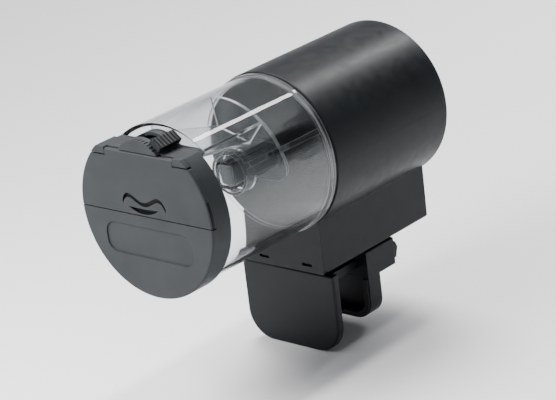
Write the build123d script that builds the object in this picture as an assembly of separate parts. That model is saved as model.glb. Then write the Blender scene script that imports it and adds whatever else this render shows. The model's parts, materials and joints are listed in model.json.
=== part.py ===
from build123d import *
import math
import os

# Automatic aquarium feeder: a clear food drum turned by a geared motor in a round housing,
# with a battery box below it and a clamp that hangs the feeder on the rim of a glass tank.
#
# Frame (mm): +Y runs along the drum's axis from the cap to the rear cover, +X is to the right
# when looking along +Y, +Z is up. The origin is on the underside of the clamp's rail, where the
# middle of a 10 mm glass edge sits.

# ---------------------------------------------------------------- driving dimensions
BODY_R = 33.0             # outer radius of housing and cap
AXIS_Z = 57.5             # height of the drum's axis over the glass seat

PLATE_BACK_Y = -6.2       # inner face of the clamp's front plate
PLATE_T = 3.2             # thickness of that plate
SEAM_Y = PLATE_BACK_Y - PLATE_T      # front face of the housing, flush with the plate
CAP_FACE_Y = SEAM_Y - 72.8           # front face of the drum's cap
HOUSING_END_Y = SEAM_Y + 71.7        # rear face of the rear cover

WALL = 2.0                # moulded wall of housing and battery box
TUBE_R = BODY_R - WALL    # inner radius of the housing
COVER_T = 2.6             # thickness of the rear cover

DRUM_R = 32.0             # outer radius of the clear drum
DRUM_T = 1.5              # wall of the clear drum
DRUM_GAP = 1.0            # running gap between drum and housing
SLEEVE_W, SLEEVE_H = 9.6, 11.0       # outside of the drum's drive sleeve
SLEEVE_T = 1.3
SLEEVE_L = 27.8           # from the drum's rear wall to the sleeve's closed nose
DIVIDER_Y = SEAM_Y - 25.2            # middle partition of the dosing insert

FACE_T = 2.2              # thickness of the cap's face and of the lid
RIM_L = 10.5              # depth of the cap's rim
FLAT_Z = 25.0             # height of the cap's flat over the drum's axis
FLAT_L = 13.2             # how far the flat runs back from the cap's face
FLAT_T = 1.6
SPLIT_Z = -0.5            # split between lid and lower face, from the drum's axis
LID_GAP = 0.5             # open line along that split
MARK_W, MARK_T = 1.7, 1.0            # width and depth of the gull-wing band on the lid
HOOD_R = 12.5             # outlet hood on the flat
HOOD_Z = 17.3             # its centre over the drum's axis
HOOD_T = 1.3
GRIP_DEG = 52.0           # where the shutter's grip stands round the hood
WINDOW_DEG = (44.0, 112.0)           # outlet window in the hood

BOX_W = 19.7              # half width of the battery box
BOX_BOTTOM_Z = 8.5
BOX_END_Y = SEAM_Y + 68.2
CELL_R, CELL_L = 7.25, 50.5          # an AA cell
CELL_X = 8.2

PLATE_W = 23.6            # half width of the clamp's front plate
PLATE_BOTTOM_Z = -25.5
PLATE_CORNER_R = 12.0
PAD_T = 1.2
RAIL_W, RAIL_NECK_W = 14.0, 10.0     # half widths of the rail's flange and neck
RAIL_T = 4.0              # thickness of the rail's flange with the seat below it
SEAT_W, SEAT_H = 9.0, 0.4            # half width and height of the raised seat on the glass
JAW_Y = SEAM_Y + 26.2     # front face of the moving jaw
JAW_T = 7.5
JAW_BOTTOM_Z = -21.5
JAW_CORNER_R = 8.0
CARRIAGE_END_Y = SEAM_Y + 44.2
CARRIAGE_BOTTOM_Z = -3.5
SLIDE_GAP = 0.15          # clearance all round the rail

GEAR_MODULE = 0.6
WHEEL_TEETH, PINION_TEETH, OUTPUT_TEETH = 36, 12, 44
GEAR_BACKLASH = 0.16
PIN_R, BORE_GAP = 1.0, 0.05

DRIVE_R = 3.0             # radius of the drive shaft
DOG_W, DOG_H = 6.6, 8.0   # section of the dog that enters the drum's sleeve
SCREW_R = 1.2             # pilot holes of the self-tapping screws

FRONT_WALL_T = 2.4        # front wall of the housing
RING_BOSS_R = 2.6         # bosses that hold the gear pins
POST_R = 2.8              # posts that carry the gear plate
BOSS_R = 3.4              # bosses of the cover screws
BUSH_T = 1.2              # wall of the shaft's bush
TACT_L, SLIDER_L = 2.9, 4.0          # how far the two board switches stand off the board
PANEL_T = 0.7             # depth of the control panel's recess
HEAD_SINK_R, HEAD_SINK_T = 2.5, 1.5  # recesses of the screw heads

EDGE_R = 0.6              # rounding of the outer edges of the mouldings
FACE_EDGE_R = 0.8         # rounding round the cap's and the lid's face
DOOR_T = 2.4              # thickness of the battery door
HINGE_R = 0.8             # pins of the battery door and the cam levers
LID_PIN_R = 0.5

os.makedirs("parts", exist_ok=True)


# ---------------------------------------------------------------- helpers
def about_axis(x=0.0, z=0.0):
    """Turn drum-axis coordinates (x right, z up) into the local frame used by slab()."""
    return Pos(x, AXIS_Z + z)


def slab(outline, y_front, y_back):
    """Solid with an XZ outline between two Y stations; outline x is X and outline y is Z."""
    plane = Plane(origin=(0, y_back, 0), x_dir=(1, 0, 0), z_dir=(0, -1, 0))
    return extrude(plane * outline, amount=y_back - y_front)


def side_slab(outline, x_low, x_high):
    """Solid with a YZ outline between two X stations; outline x is Y and outline y is Z."""
    plane = Plane(origin=(x_low, 0, 0), x_dir=(0, 1, 0), z_dir=(1, 0, 0))
    return extrude(plane * outline, amount=x_high - x_low)


def disc(radius, y_front, y_back, x=0.0, z=0.0):
    """Round solid along Y, its centre given from the drum's axis."""
    return slab(about_axis(x, z) * Circle(radius), y_front, y_back)


def ring(outer, inner, y_front, y_back, x=0.0, z=0.0):
    return slab(about_axis(x, z) * (Circle(outer) - Circle(inner)), y_front, y_back)


def block(x, y, z):
    """Box between pairs of limits in the row's frame."""
    centre = Pos((x[0] + x[1]) / 2, (y[0] + y[1]) / 2, (z[0] + z[1]) / 2)
    return centre * Box(x[1] - x[0], y[1] - y[0], z[1] - z[0])


def pin_x(radius, x_low, x_high, y, z):
    """Round solid along X."""
    return side_slab(Pos(y, z) * Circle(radius), x_low, x_high)


def polar(radius, degrees):
    return radius * math.cos(math.radians(degrees)), radius * math.sin(math.radians(degrees))


def arc_band(r_in, r_out, start, end, y_front, y_back, x=0.0, z=0.0):
    """Part of a ring between two angles, round a centre given from the drum's axis."""
    inner = [polar(r_in, a) for a in (start, (start + end) / 2, end)]
    outer = [polar(r_out, a) for a in (end, (start + end) / 2, start)]
    edges = [
        ThreePointArc(*inner),
        Line(inner[2], outer[0]),
        ThreePointArc(*outer),
        Line(outer[2], inner[0]),
    ]
    return slab(about_axis(x, z) * make_face(edges), y_front, y_back)


def gear(teeth, y_front, y_back, x, z, phase_deg, bore_r):
    """Spur gear along Y with true involute flanks, one tooth centred on phase_deg."""
    pitch_r = GEAR_MODULE * teeth / 2
    base_r = pitch_r * math.cos(math.radians(25.0))
    tip_r = pitch_r + 0.85 * GEAR_MODULE
    root_r = pitch_r - 1.25 * GEAR_MODULE

    def involute(r):
        if r <= base_r:
            return 0.0
        pressure = math.acos(base_r / r)
        return math.tan(pressure) - pressure

    half_pitch = (math.pi * GEAR_MODULE - GEAR_BACKLASH) / (4 * pitch_r) + involute(pitch_r)
    flank_radii = (root_r, max(base_r, root_r) + 0.35 * (tip_r - base_r), tip_r)
    halves = [half_pitch - involute(r) for r in flank_radii]
    step = 2 * math.pi / teeth
    edges = []
    for tooth in range(teeth):
        mid = math.radians(phase_deg) + tooth * step

        def at(radius, angle):
            return radius * math.cos(mid + angle), radius * math.sin(mid + angle)

        left = [at(r, -h) for r, h in zip(flank_radii, halves)]
        right = [at(r, h) for r, h in zip(flank_radii, halves)]
        edges.append(ThreePointArc(*left))
        edges.append(ThreePointArc(left[2], at(tip_r, 0), right[2]))
        edges.append(ThreePointArc(right[2], right[1], right[0]))
        edges.append(ThreePointArc(right[0], at(root_r, step / 2), at(root_r, step - halves[0])))
    outline = make_face(edges) - Circle(bore_r)
    return slab(about_axis(x, z) * outline, y_front, y_back)


def screw(x, y, z, turn_deg, length, head_r=2.3, head_t=1.4, shank_r=SCREW_R):
    """Cross-head screw under its head at (x, y, z); turn_deg about X aims the shank.

    -90 aims it at -Y, 90 at +Y and 180 at +Z.
    """
    body = Pos(0, 0, -length / 2) * Cylinder(shank_r - 0.02, length)
    body += Pos(0, 0, head_t / 2) * Cylinder(head_r, head_t)
    for angle in (0, 90):
        body -= Pos(0, 0, head_t) * Rot(0, 0, angle) * Box(1.3 * head_r, 0.26 * head_r, head_t)
    return Location((x, y, z), (turn_deg, 0, 0)) * body


def save(name, shape):
    export_step(shape, f"parts/{name}.step")


def save_group(name, solids):
    """Identical pieces that share a node stay separate solids."""
    save(name, Compound(children=list(solids)))


# ---------------------------------------------------------------- stations along Y
FRONT_WALL_BACK = SEAM_Y + FRONT_WALL_T
GEAR_Y0 = FRONT_WALL_BACK + 5.4                   # front of the output gear
GEAR_LAYERS = [GEAR_Y0 + 4.8 * i for i in range(3)]
GEAR_FACE = 4.0
PLATE2_Y = GEAR_LAYERS[2] + GEAR_FACE + 1.2       # front of the gear plate
PLATE2_BACK = PLATE2_Y + 2.0
MOTOR_L = 25.0
BOARD_Y = HOUSING_END_Y - COVER_T - 10.0          # front of the circuit board
BOARD_BACK = BOARD_Y + 1.6
COVER_Y = HOUSING_END_Y - COVER_T
BULKHEAD_Y = SEAM_Y + WALL + 4.5                  # front of the wall ahead of the cells
CONTACT_T = 0.5
CONTACT_FRONT = BULKHEAD_Y + 1.5                  # contact plates lie on the bulkhead
CONTACT_REAR = BOX_END_Y - DOOR_T - 0.4           # and the rear one just inside the door
DRUM_BACK_Y = SEAM_Y - DRUM_GAP
DRUM_FRONT_Y = CAP_FACE_Y + 6.0
RECESS_Y = CAP_FACE_Y + FLAT_L                    # rear end of the flat

# ---------------------------------------------------------------- gear train centres
MESH_OUT = GEAR_MODULE * (OUTPUT_TEETH + PINION_TEETH) / 2
MESH_MID = GEAR_MODULE * (WHEEL_TEETH + PINION_TEETH) / 2
DIR_2, DIR_1, DIR_0 = 210.0, 90.0, 50.0           # from each gear to the next, in degrees
GEAR2_X, GEAR2_Z = polar(MESH_OUT, DIR_2)
GEAR1_X = GEAR2_X + polar(MESH_MID, DIR_1)[0]
GEAR1_Z = GEAR2_Z + polar(MESH_MID, DIR_1)[1]
MOTOR_X = GEAR1_X + polar(MESH_MID, DIR_0)[0]
MOTOR_Z = GEAR1_Z + polar(MESH_MID, DIR_0)[1]
MOTOR_SCREW_X = 5.8
POSTS = [(25.0, 8.0), (10.0, -24.0), (-19.0, 20.0)]          # posts that carry the gear plate
COVER_BOSSES = [polar(28.2, a) for a in (45.0, 165.0, 285.0)]
DOOR_AXIS_Y = BOX_END_Y - DOOR_T / 2
DOOR_AXIS_Z = BOX_BOTTOM_Z + WALL + 0.1 + DOOR_T / 2
LID_AXIS_Y = CAP_FACE_Y + (FACE_T - 0.1) / 2
LID_AXIS_Z = AXIS_Z + FLAT_Z - 0.35 - FACE_T / 2
LEVER_Y, LEVER_Z = CARRIAGE_END_Y - 1.4, 6.1      # axis of the clamp's cam levers
RAIL_SCREWS_Y = (PLATE_BACK_Y + 13.0, PLATE_BACK_Y + 30.0)
TONGUE_Y = SEAM_Y + WALL + 0.2                    # snap tongues behind the box's front wall
EAR_X = 17.2                                      # inner face of the lid's hinge ears
LABEL_W, LABEL_H, LABEL_Z = 44.0, 12.6, -11.0     # plain recess in the cap's lower face
GRIP_IN_R, GRIP_T, GRIP_W, GRIP_L = 12.9, 2.5, 5.0, 12.0
CHUTE_DEG = (50.0, 100.0)                         # sides of the dosing chute
CHUTE_FRONT_R, CHUTE_REAR_R = 28.6, 19.6          # inner edge of its sides
LIFTER_DEG = 26.0
BUTTON_X, BUTTON_Z = -8.0, 7.0
SWITCH_X, SWITCH_Z = 9.0, 7.0
LED_X, LED_Z = 0.0, -2.0
BOARD_POSTS = [(-17.0, 2.0), (17.0, 2.0)]


def gap_phase(direction, teeth):
    """Phase that puts a gap, not a tooth, on the side facing back along direction."""
    return direction + 180.0 + 180.0 / teeth


# ---------------------------------------------------------------- housing
def make_housing_shell():
    """Round shell with its front wall, gear posts and the battery box, in one moulding."""
    shell = ring(BODY_R, TUBE_R, SEAM_Y, COVER_Y)
    shell = fillet(shell.faces().sort_by(Axis.Y)[0].edges().sort_by(SortBy.RADIUS)[-1], EDGE_R / 2)
    shell += disc(TUBE_R + 0.5, SEAM_Y, FRONT_WALL_BACK)
    box_top = AXIS_Z - 12.0
    outline = RectangleRounded(2 * BOX_W, box_top - BOX_BOTTOM_Z, 1.2)
    box = slab(Pos(0, (BOX_BOTTOM_Z + box_top) / 2) * outline, SEAM_Y, BOX_END_Y)
    box = fillet(box.faces().sort_by(Axis.Y)[-1].edges(), EDGE_R)
    box -= disc(BODY_R - 0.5, SEAM_Y - 1, BOX_END_Y + 1)
    inside = block(
        (-BOX_W + WALL, BOX_W - WALL), (SEAM_Y + WALL, BOX_END_Y + 1),
        (BOX_BOTTOM_Z + WALL, box_top))
    shell += box - (inside - disc(BODY_R, SEAM_Y - 2, BOX_END_Y + 2))
    # bosses for the shaft's bush and the two gear pins
    shell += disc(6.0, SEAM_Y, FRONT_WALL_BACK + 4.2)
    for x, z in ((GEAR2_X, GEAR2_Z), (GEAR1_X, GEAR1_Z)):
        shell += disc(RING_BOSS_R, FRONT_WALL_BACK - 0.5, FRONT_WALL_BACK + 4.0, x, z)
        shell -= disc(PIN_R, FRONT_WALL_BACK, FRONT_WALL_BACK + 5.0, x, z)
    for x, z in POSTS:
        shell += disc(POST_R, FRONT_WALL_BACK - 0.5, PLATE2_Y, x, z)
        shell -= disc(SCREW_R, PLATE2_Y - 8.0, PLATE2_Y + 1, x, z)
    for x, z in COVER_BOSSES:
        boss = disc(BOSS_R, COVER_Y - 20.0, COVER_Y, x, z)
        shell += boss & disc(TUBE_R + 0.5, COVER_Y - 21.0, COVER_Y + 1)
        shell -= disc(SCREW_R, COVER_Y - 12.0, COVER_Y + 1, x, z)
    shell -= disc(DRIVE_R + BUSH_T, SEAM_Y - 1, FRONT_WALL_BACK + 6.0)
    bulkhead = block(
        (-BOX_W + 0.5, BOX_W - 0.5), (BULKHEAD_Y, CONTACT_FRONT),
        (BOX_BOTTOM_Z + 0.5, AXIS_Z - 20.0))
    shell += bulkhead - disc(BODY_R - 0.5, BULKHEAD_Y - 1, CONTACT_FRONT + 1)
    # catch slots for the clamp bracket's tongues, low on the box's front face
    for side in (-1, 1):
        slot_x = sorted((side * 8.6, side * 13.6))
        slot_z = (BOX_BOTTOM_Z + 2.6, BOX_BOTTOM_Z + 3.8)
        shell -= block(slot_x, (SEAM_Y - 1, SEAM_Y + WALL + 0.1), slot_z)
        shell -= block(slot_x, (SEAM_Y + WALL, PLATE_BACK_Y + 0.2), (BOX_BOTTOM_Z - 1, slot_z[1]))
        pin_ends = sorted((side * (BOX_W - WALL - 1), side * (BOX_W - 0.6)))
        shell -= pin_x(HINGE_R, *pin_ends, DOOR_AXIS_Y, DOOR_AXIS_Z)
    for y in RAIL_SCREWS_Y:
        shell -= Pos(0, y, BOX_BOTTOM_Z) * Cylinder(SCREW_R, 3 * WALL)
    return shell


def make_rear_cover():
    """Rear lid of the housing, with a shallow control panel and a locating ring."""
    cover = disc(BODY_R, COVER_Y, HOUSING_END_Y)
    cover = fillet(cover.edges().filter_by(GeomType.CIRCLE).sort_by(Axis.Y)[-1], 1.8)
    lip = ring(TUBE_R - 0.1, TUBE_R - 1.6, COVER_Y - 4.0, COVER_Y)
    for x, z in COVER_BOSSES:
        lip -= disc(BOSS_R + 0.3, COVER_Y - 5.0, COVER_Y, x, z)
    cover += lip
    panel = about_axis(0, 4.5) * RectangleRounded(36.0, 19.0, 4.0)
    cover -= slab(panel, HOUSING_END_Y - PANEL_T, HOUSING_END_Y + 1)
    cover -= disc(5.2, COVER_Y - 1, HOUSING_END_Y + 1, BUTTON_X, BUTTON_Z)
    slot = about_axis(SWITCH_X, SWITCH_Z) * RectangleRounded(9.4, 4.0, 0.8)
    cover -= slab(slot, COVER_Y - 1, HOUSING_END_Y + 1)
    cover -= disc(1.6, COVER_Y - 1, HOUSING_END_Y + 1, LED_X, LED_Z)
    for x, z in BOARD_POSTS:
        cover += disc(2.2, BOARD_BACK, COVER_Y + 0.5, x, z)
        cover -= disc(SCREW_R, BOARD_BACK - 1, COVER_Y, x, z)
    for x, z in COVER_BOSSES:
        cover -= disc(SCREW_R + 0.2, COVER_Y - 1, HOUSING_END_Y + 1, x, z)
        cover -= disc(HEAD_SINK_R, HOUSING_END_Y - HEAD_SINK_T, HOUSING_END_Y + 1, x, z)
    return cover


def make_housing():
    save("housing_shell", make_housing_shell())
    save("rear_cover", make_rear_cover())
    save_group("cover_screws", [
        screw(x, HOUSING_END_Y - HEAD_SINK_T, AXIS_Z + z, -90, 11.0) for x, z in COVER_BOSSES])


# ---------------------------------------------------------------- drive
def make_gear_plate():
    plate = disc(TUBE_R - 1.5, PLATE2_Y, PLATE2_BACK)
    plate -= disc(DRIVE_R - 0.5 + BORE_GAP, PLATE2_Y - 1, PLATE2_BACK + 1)
    for x, z in ((GEAR2_X, GEAR2_Z), (GEAR1_X, GEAR1_Z)):
        plate -= disc(PIN_R, PLATE2_Y - 1, PLATE2_BACK + 1, x, z)
    for x, z in POSTS:
        plate -= disc(SCREW_R + 0.1, PLATE2_Y - 1, PLATE2_BACK + 1, x, z)
    plate -= disc(3.1, PLATE2_Y - 1, PLATE2_BACK + 1, MOTOR_X, MOTOR_Z)
    for side in (-1, 1):
        hole_x = MOTOR_X + side * MOTOR_SCREW_X
        plate -= disc(0.8, PLATE2_Y - 1, PLATE2_BACK + 1, hole_x, MOTOR_Z)
    return plate


def make_motor():
    """Small can motor with flattened sides, its nose in the gear plate."""
    can = disc(10.0, PLATE2_BACK, PLATE2_BACK + MOTOR_L, MOTOR_X, MOTOR_Z)
    can &= block(
        (MOTOR_X - 7.6, MOTOR_X + 7.6), (PLATE2_BACK - 1, PLATE2_BACK + MOTOR_L + 1),
        (AXIS_Z + MOTOR_Z - 11, AXIS_Z + MOTOR_Z + 11))
    can += disc(3.0, PLATE2_BACK - 1.4, PLATE2_BACK, MOTOR_X, MOTOR_Z)
    can -= disc(PIN_R + BORE_GAP, PLATE2_BACK - 2, PLATE2_BACK + 12.0, MOTOR_X, MOTOR_Z)
    for side in (-1, 1):
        hole_x = MOTOR_X + side * MOTOR_SCREW_X
        can -= disc(0.7, PLATE2_BACK - 1, PLATE2_BACK + 3.0, hole_x, MOTOR_Z)
    return can


def make_motor_end():
    y_front = PLATE2_BACK + MOTOR_L
    end = disc(9.4, y_front, y_front + 2.0, MOTOR_X, MOTOR_Z)
    end &= block(
        (MOTOR_X - 7.2, MOTOR_X + 7.2), (y_front, y_front + 2),
        (AXIS_Z + MOTOR_Z - 11, AXIS_Z + MOTOR_Z + 11))
    for side in (-1, 1):
        low = AXIS_Z + MOTOR_Z + side * 6.0
        end += block(
            (MOTOR_X - 1.2, MOTOR_X + 1.2), (y_front + 2.0, y_front + 5.0), (low - 0.3, low + 0.3))
    return end


def make_drive_shaft():
    """Shaft of the output gear; its dog enters the drum's sleeve."""
    nose_y = SEAM_Y - DRUM_GAP - SLEEVE_L + SLEEVE_T + 0.8
    collar_y = SEAM_Y - DRUM_GAP + 0.15
    dog = slab(about_axis() * RectangleRounded(DOG_W, DOG_H, 1.2), nose_y, collar_y)
    shaft = dog + disc(5.0, collar_y, collar_y + 0.6)
    shaft += disc(DRIVE_R, collar_y + 0.6, PLATE2_Y - 0.1)
    shaft += disc(DRIVE_R - 0.5, PLATE2_Y - 0.1, PLATE2_BACK + 1.6)
    return shaft


def compound_gear(layer, x, z, wheel_dir, pinion_phase):
    """Wheel, its pinion in front and a hub each way, free on a fixed pin."""
    pinion_y, wheel_y = GEAR_LAYERS[layer] - 0.2, GEAR_LAYERS[layer + 1]
    bore = PIN_R + BORE_GAP
    body = gear(PINION_TEETH, pinion_y, wheel_y, x, z, pinion_phase, bore)
    body += gear(WHEEL_TEETH, wheel_y, wheel_y + GEAR_FACE, x, z, wheel_dir, bore)
    body += ring(1.6, bore, FRONT_WALL_BACK + 4.1, pinion_y, x, z)
    return body + ring(1.6, bore, wheel_y + GEAR_FACE, PLATE2_Y - 0.1, x, z)


def make_drive():
    save("gear_plate", make_gear_plate())
    save_group("plate_screws", [
        screw(x, PLATE2_BACK, AXIS_Z + z, -90, 8.0) for x, z in POSTS])
    save_group("motor_screws", [
        screw(MOTOR_X + side * MOTOR_SCREW_X, PLATE2_Y, AXIS_Z + MOTOR_Z, 90, 4.5, 1.5, 0.8, 0.7)
        for side in (-1, 1)])
    save("shaft_bush", ring(
        DRIVE_R + BUSH_T, DRIVE_R + BORE_GAP, SEAM_Y + 0.2, FRONT_WALL_BACK + 4.2))
    save_group("gear_pins", [
        disc(PIN_R, FRONT_WALL_BACK, PLATE2_BACK, x, z)
        for x, z in ((GEAR2_X, GEAR2_Z), (GEAR1_X, GEAR1_Z))])
    save("drive_shaft", make_drive_shaft())
    save("output_gear", gear(
        OUTPUT_TEETH, GEAR_LAYERS[0], GEAR_LAYERS[0] + GEAR_FACE, 0, 0, DIR_2, DRIVE_R))
    save("second_gear", compound_gear(
        0, GEAR2_X, GEAR2_Z, DIR_1, gap_phase(DIR_2, PINION_TEETH)))
    save("first_gear", compound_gear(
        1, GEAR1_X, GEAR1_Z, DIR_0, gap_phase(DIR_1, PINION_TEETH)))
    save("motor_pinion", gear(
        PINION_TEETH, GEAR_LAYERS[2] - 0.2, GEAR_LAYERS[2] + GEAR_FACE, MOTOR_X, MOTOR_Z,
        gap_phase(DIR_0, PINION_TEETH), PIN_R))
    save("motor_shaft", disc(
        PIN_R, GEAR_LAYERS[2] - 0.6, PLATE2_BACK + 10.0, MOTOR_X, MOTOR_Z))
    save("motor_can", make_motor())
    save("motor_end_cap", make_motor_end())
    save("shaft_clip", ring(
        4.2, DRIVE_R - 0.5, PLATE2_BACK + 0.3, PLATE2_BACK + 1.1) - block(
            (-1.6, 1.6), (PLATE2_BACK, PLATE2_BACK + 2), (AXIS_Z - 6, AXIS_Z - 1.0)))


# ---------------------------------------------------------------- controls
def make_board():
    outline = about_axis(0, 3.0) * RectangleRounded(42.0, 24.0, 2.0)
    board = slab(outline, BOARD_Y, BOARD_BACK)
    for x, z in BOARD_POSTS:
        board -= disc(SCREW_R + 0.1, BOARD_Y - 1, BOARD_BACK + 1, x, z)
    return board


def make_board_chips():
    """Controller chip, two capacitors and a crystal on the front of the board."""
    chip = block((-5, 5), (BOARD_Y - 1.6, BOARD_Y), (AXIS_Z - 4, AXIS_Z + 3))
    crystal = block((8, 13), (BOARD_Y - 2.0, BOARD_Y), (AXIS_Z + 6, AXIS_Z + 8.5))
    cans = [disc(2.5, BOARD_Y - 6.0, BOARD_Y, *centre) for centre in ((-13.0, -4.0), (14.0, -3.0))]
    return [chip, crystal, *cans]


def make_feed_button():
    """Push button: a dished cap in the cover's hole and a flange that keeps it in."""
    cap = disc(5.0, COVER_Y - 0.4, HOUSING_END_Y + 0.6, BUTTON_X, BUTTON_Z)
    cap = fillet(cap.edges().filter_by(GeomType.CIRCLE).sort_by(Axis.Y)[-1], 0.6)
    flange = disc(6.2, COVER_Y - 1.4, COVER_Y - 0.2, BUTTON_X, BUTTON_Z)
    stem = disc(1.6, BOARD_BACK + TACT_L + 1.4, COVER_Y - 1.0, BUTTON_X, BUTTON_Z)
    dish = Pos(BUTTON_X, HOUSING_END_Y + 0.6 + 14.6, AXIS_Z + BUTTON_Z) * Sphere(15.0)
    return cap + flange + stem - dish


def make_switch_knob():
    x, z = SWITCH_X - 2.0, AXIS_Z + SWITCH_Z
    knob = block((x - 2.4, x + 2.4), (COVER_Y - 0.3, HOUSING_END_Y + 0.5), (z - 1.8, z + 1.8))
    stem = block((x - 1.0, x + 1.0), (BOARD_BACK + SLIDER_L + 0.2, COVER_Y), (z - 1.0, z + 1.0))
    stem += block((x - 4.0, x + 4.0), (COVER_Y - 1.3, COVER_Y - 0.2), (z - 3.0, z + 3.0))
    for i in range(-1, 2):
        rib_x = x + 1.4 * i
        knob += block(
            (rib_x - 0.3, rib_x + 0.3), (HOUSING_END_Y + 0.4, HOUSING_END_Y + 0.9),
            (z - 1.6, z + 1.6))
    return knob + stem


def make_controls():
    save("circuit_board", make_board())
    save_group("board_chips", make_board_chips())
    save_group("board_screws", [
        screw(x, BOARD_Y, AXIS_Z + z, 90, 6.0, 2.0, 1.2) for x, z in BOARD_POSTS])
    x, z = BUTTON_X, AXIS_Z + BUTTON_Z
    tact = block((x - 3, x + 3), (BOARD_BACK, BOARD_BACK + 2.2), (z - 3, z + 3))
    save("tact_switch", tact + disc(
        1.5, BOARD_BACK + 2.0, BOARD_BACK + TACT_L, BUTTON_X, BUTTON_Z))
    x, z = SWITCH_X, AXIS_Z + SWITCH_Z
    body = block((x - 5.5, x + 5.5), (BOARD_BACK, BOARD_BACK + SLIDER_L), (z - 2.8, z + 2.8))
    save("slide_switch", body)
    led = disc(1.5, BOARD_BACK, HOUSING_END_Y - 0.3, LED_X, LED_Z)
    save("led_lens", fillet(led.edges().filter_by(GeomType.CIRCLE).sort_by(Axis.Y)[-1], 0.9))
    save("feed_button", make_feed_button())
    save("interval_switch_knob", make_switch_knob())


# ---------------------------------------------------------------- batteries
CELL_Z = BOX_BOTTOM_Z + WALL + 0.1 + CELL_R - AXIS_Z
CELL_SPANS = {                                    # the left cell's nub is at the front
    -CELL_X: (CONTACT_FRONT + CONTACT_T, CONTACT_FRONT + CONTACT_T + CELL_L),
    CELL_X: (CONTACT_REAR - CONTACT_T - CELL_L, CONTACT_REAR - CONTACT_T),
}


def make_cell(x):
    """AA cell along Y with its positive nub at one end."""
    low, high = CELL_SPANS[x]
    if x < 0:
        return disc(CELL_R, low + 1.0, high, x, CELL_Z) + disc(2.7, low, low + 1.0, x, CELL_Z)
    return disc(CELL_R, low, high - 1.0, x, CELL_Z) + disc(2.7, high - 1.0, high, x, CELL_Z)


def contact_plate(x):
    """Terminal plate on the bulkhead ahead of one cell."""
    low = AXIS_Z + CELL_Z - 5.5
    return block((x - 5.5, x + 5.5), (CONTACT_FRONT, CONTACT_FRONT + CONTACT_T), (low, low + 11.0))


def make_contact_spring(x, y_base, y_end):
    """Conical contact spring pressed flat between its plate and the cell, its turns touching."""
    turns = 4
    wire_r = abs(y_end - y_base) / (2 * turns)
    away = 1 if y_end > y_base else -1
    coils = [
        Location((x, y_base + away * (2 * i + 1) * wire_r, AXIS_Z + CELL_Z), (90, 0, 0))
        * Torus(4.4 - 0.4 * i, wire_r + 0.1)
        for i in range(turns)]
    spring = coils[0] + coils[1:]
    low, high = sorted((y_base, y_end))
    return spring & disc(CELL_R, low, high, x, CELL_Z)


def make_door_contact():
    """One plate across both cells, with a tab that is staked into the door."""
    y_low = CONTACT_REAR - CONTACT_T
    low = AXIS_Z + CELL_Z - 5.5
    plate = block((-CELL_X - 5.5, CELL_X + 5.5), (y_low, CONTACT_REAR), (low, low + 11.0))
    return plate + block((-3, 3), (y_low, BOX_END_Y - DOOR_T), (low + 3.0, low + 8.0))


def make_battery_door():
    """Rear door of the battery box, with two grip ridges; its top follows the round shell."""
    half = BOX_W - WALL - 0.2
    door = block((-half, half), (BOX_END_Y - DOOR_T, BOX_END_Y), (DOOR_AXIS_Z, AXIS_Z - 27.0))
    door -= disc(BODY_R + 0.2, BOX_END_Y - 5, BOX_END_Y + 1)
    door += pin_x(DOOR_T / 2, -half, half, DOOR_AXIS_Y, DOOR_AXIS_Z)
    for rise in (5.0, 8.0):
        door += block(
            (-8, 8), (BOX_END_Y - 0.2, BOX_END_Y + 0.9),
            (DOOR_AXIS_Z + rise, DOOR_AXIS_Z + rise + 1.2))
    for side in (-1, 1):
        hole = sorted((side * (half - 3.1), side * (half + 1)))
        door -= pin_x(HINGE_R + BORE_GAP, *hole, DOOR_AXIS_Y, DOOR_AXIS_Z)
    return door


def make_batteries():
    save_group("battery_cells", [make_cell(x) for x in CELL_SPANS])
    save_group("contact_plates", [contact_plate(x) for x in CELL_SPANS])
    save("front_spring", make_contact_spring(
        CELL_X, CONTACT_FRONT + CONTACT_T, CELL_SPANS[CELL_X][0]))
    save("door_contact", make_door_contact())
    save("door_spring", make_contact_spring(
        -CELL_X, CONTACT_REAR - CONTACT_T, CELL_SPANS[-CELL_X][1]))
    save("battery_door", make_battery_door())
    save_group("door_pins", [
        pin_x(HINGE_R, *sorted((side * (BOX_W - WALL - 3.0), side * (BOX_W - 0.7))),
              DOOR_AXIS_Y, DOOR_AXIS_Z)
        for side in (-1, 1)])


# ---------------------------------------------------------------- drum
FLAT_UNDER_Z = FLAT_Z - FLAT_T
HOOD_IN_R = HOOD_R - HOOD_T


def above(z, y_front, y_back):
    """Everything higher than z over the drum's axis, between two Y stations."""
    return block((-60, 60), (y_front, y_back), (AXIS_Z + z, AXIS_Z + 60))


def make_drum_shell():
    """Clear drum: wall, rear wall with its rim, and the blind sleeve that the dog enters."""
    shell = ring(DRUM_R, DRUM_R - DRUM_T, DRUM_FRONT_Y, DRUM_BACK_Y)
    shell += disc(DRUM_R - DRUM_T + 0.3, DRUM_BACK_Y - 1.6, DRUM_BACK_Y)
    shell += ring(DRUM_R + 0.6, DRUM_R - 0.3, DRUM_BACK_Y - 1.8, DRUM_BACK_Y)
    shell -= above(FLAT_UNDER_Z, DRUM_FRONT_Y - 1, RECESS_Y)
    segment = disc(DRUM_R - 0.3, RECESS_Y, RECESS_Y + DRUM_T)
    shell += segment & above(FLAT_UNDER_Z, RECESS_Y - 1, RECESS_Y + 3)
    nose_y = DRUM_BACK_Y - SLEEVE_L
    sleeve = about_axis() * RectangleRounded(SLEEVE_W, SLEEVE_H, 3.0)
    shell += fillet(slab(sleeve, nose_y, DRUM_BACK_Y).faces().sort_by(Axis.Y)[0].edges(), 0.8)
    socket = about_axis() * RectangleRounded(DOG_W + 0.3, DOG_H + 0.3, 1.3)
    return shell - slab(socket, nose_y + SLEEVE_T, DRUM_BACK_Y + 1)


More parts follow.
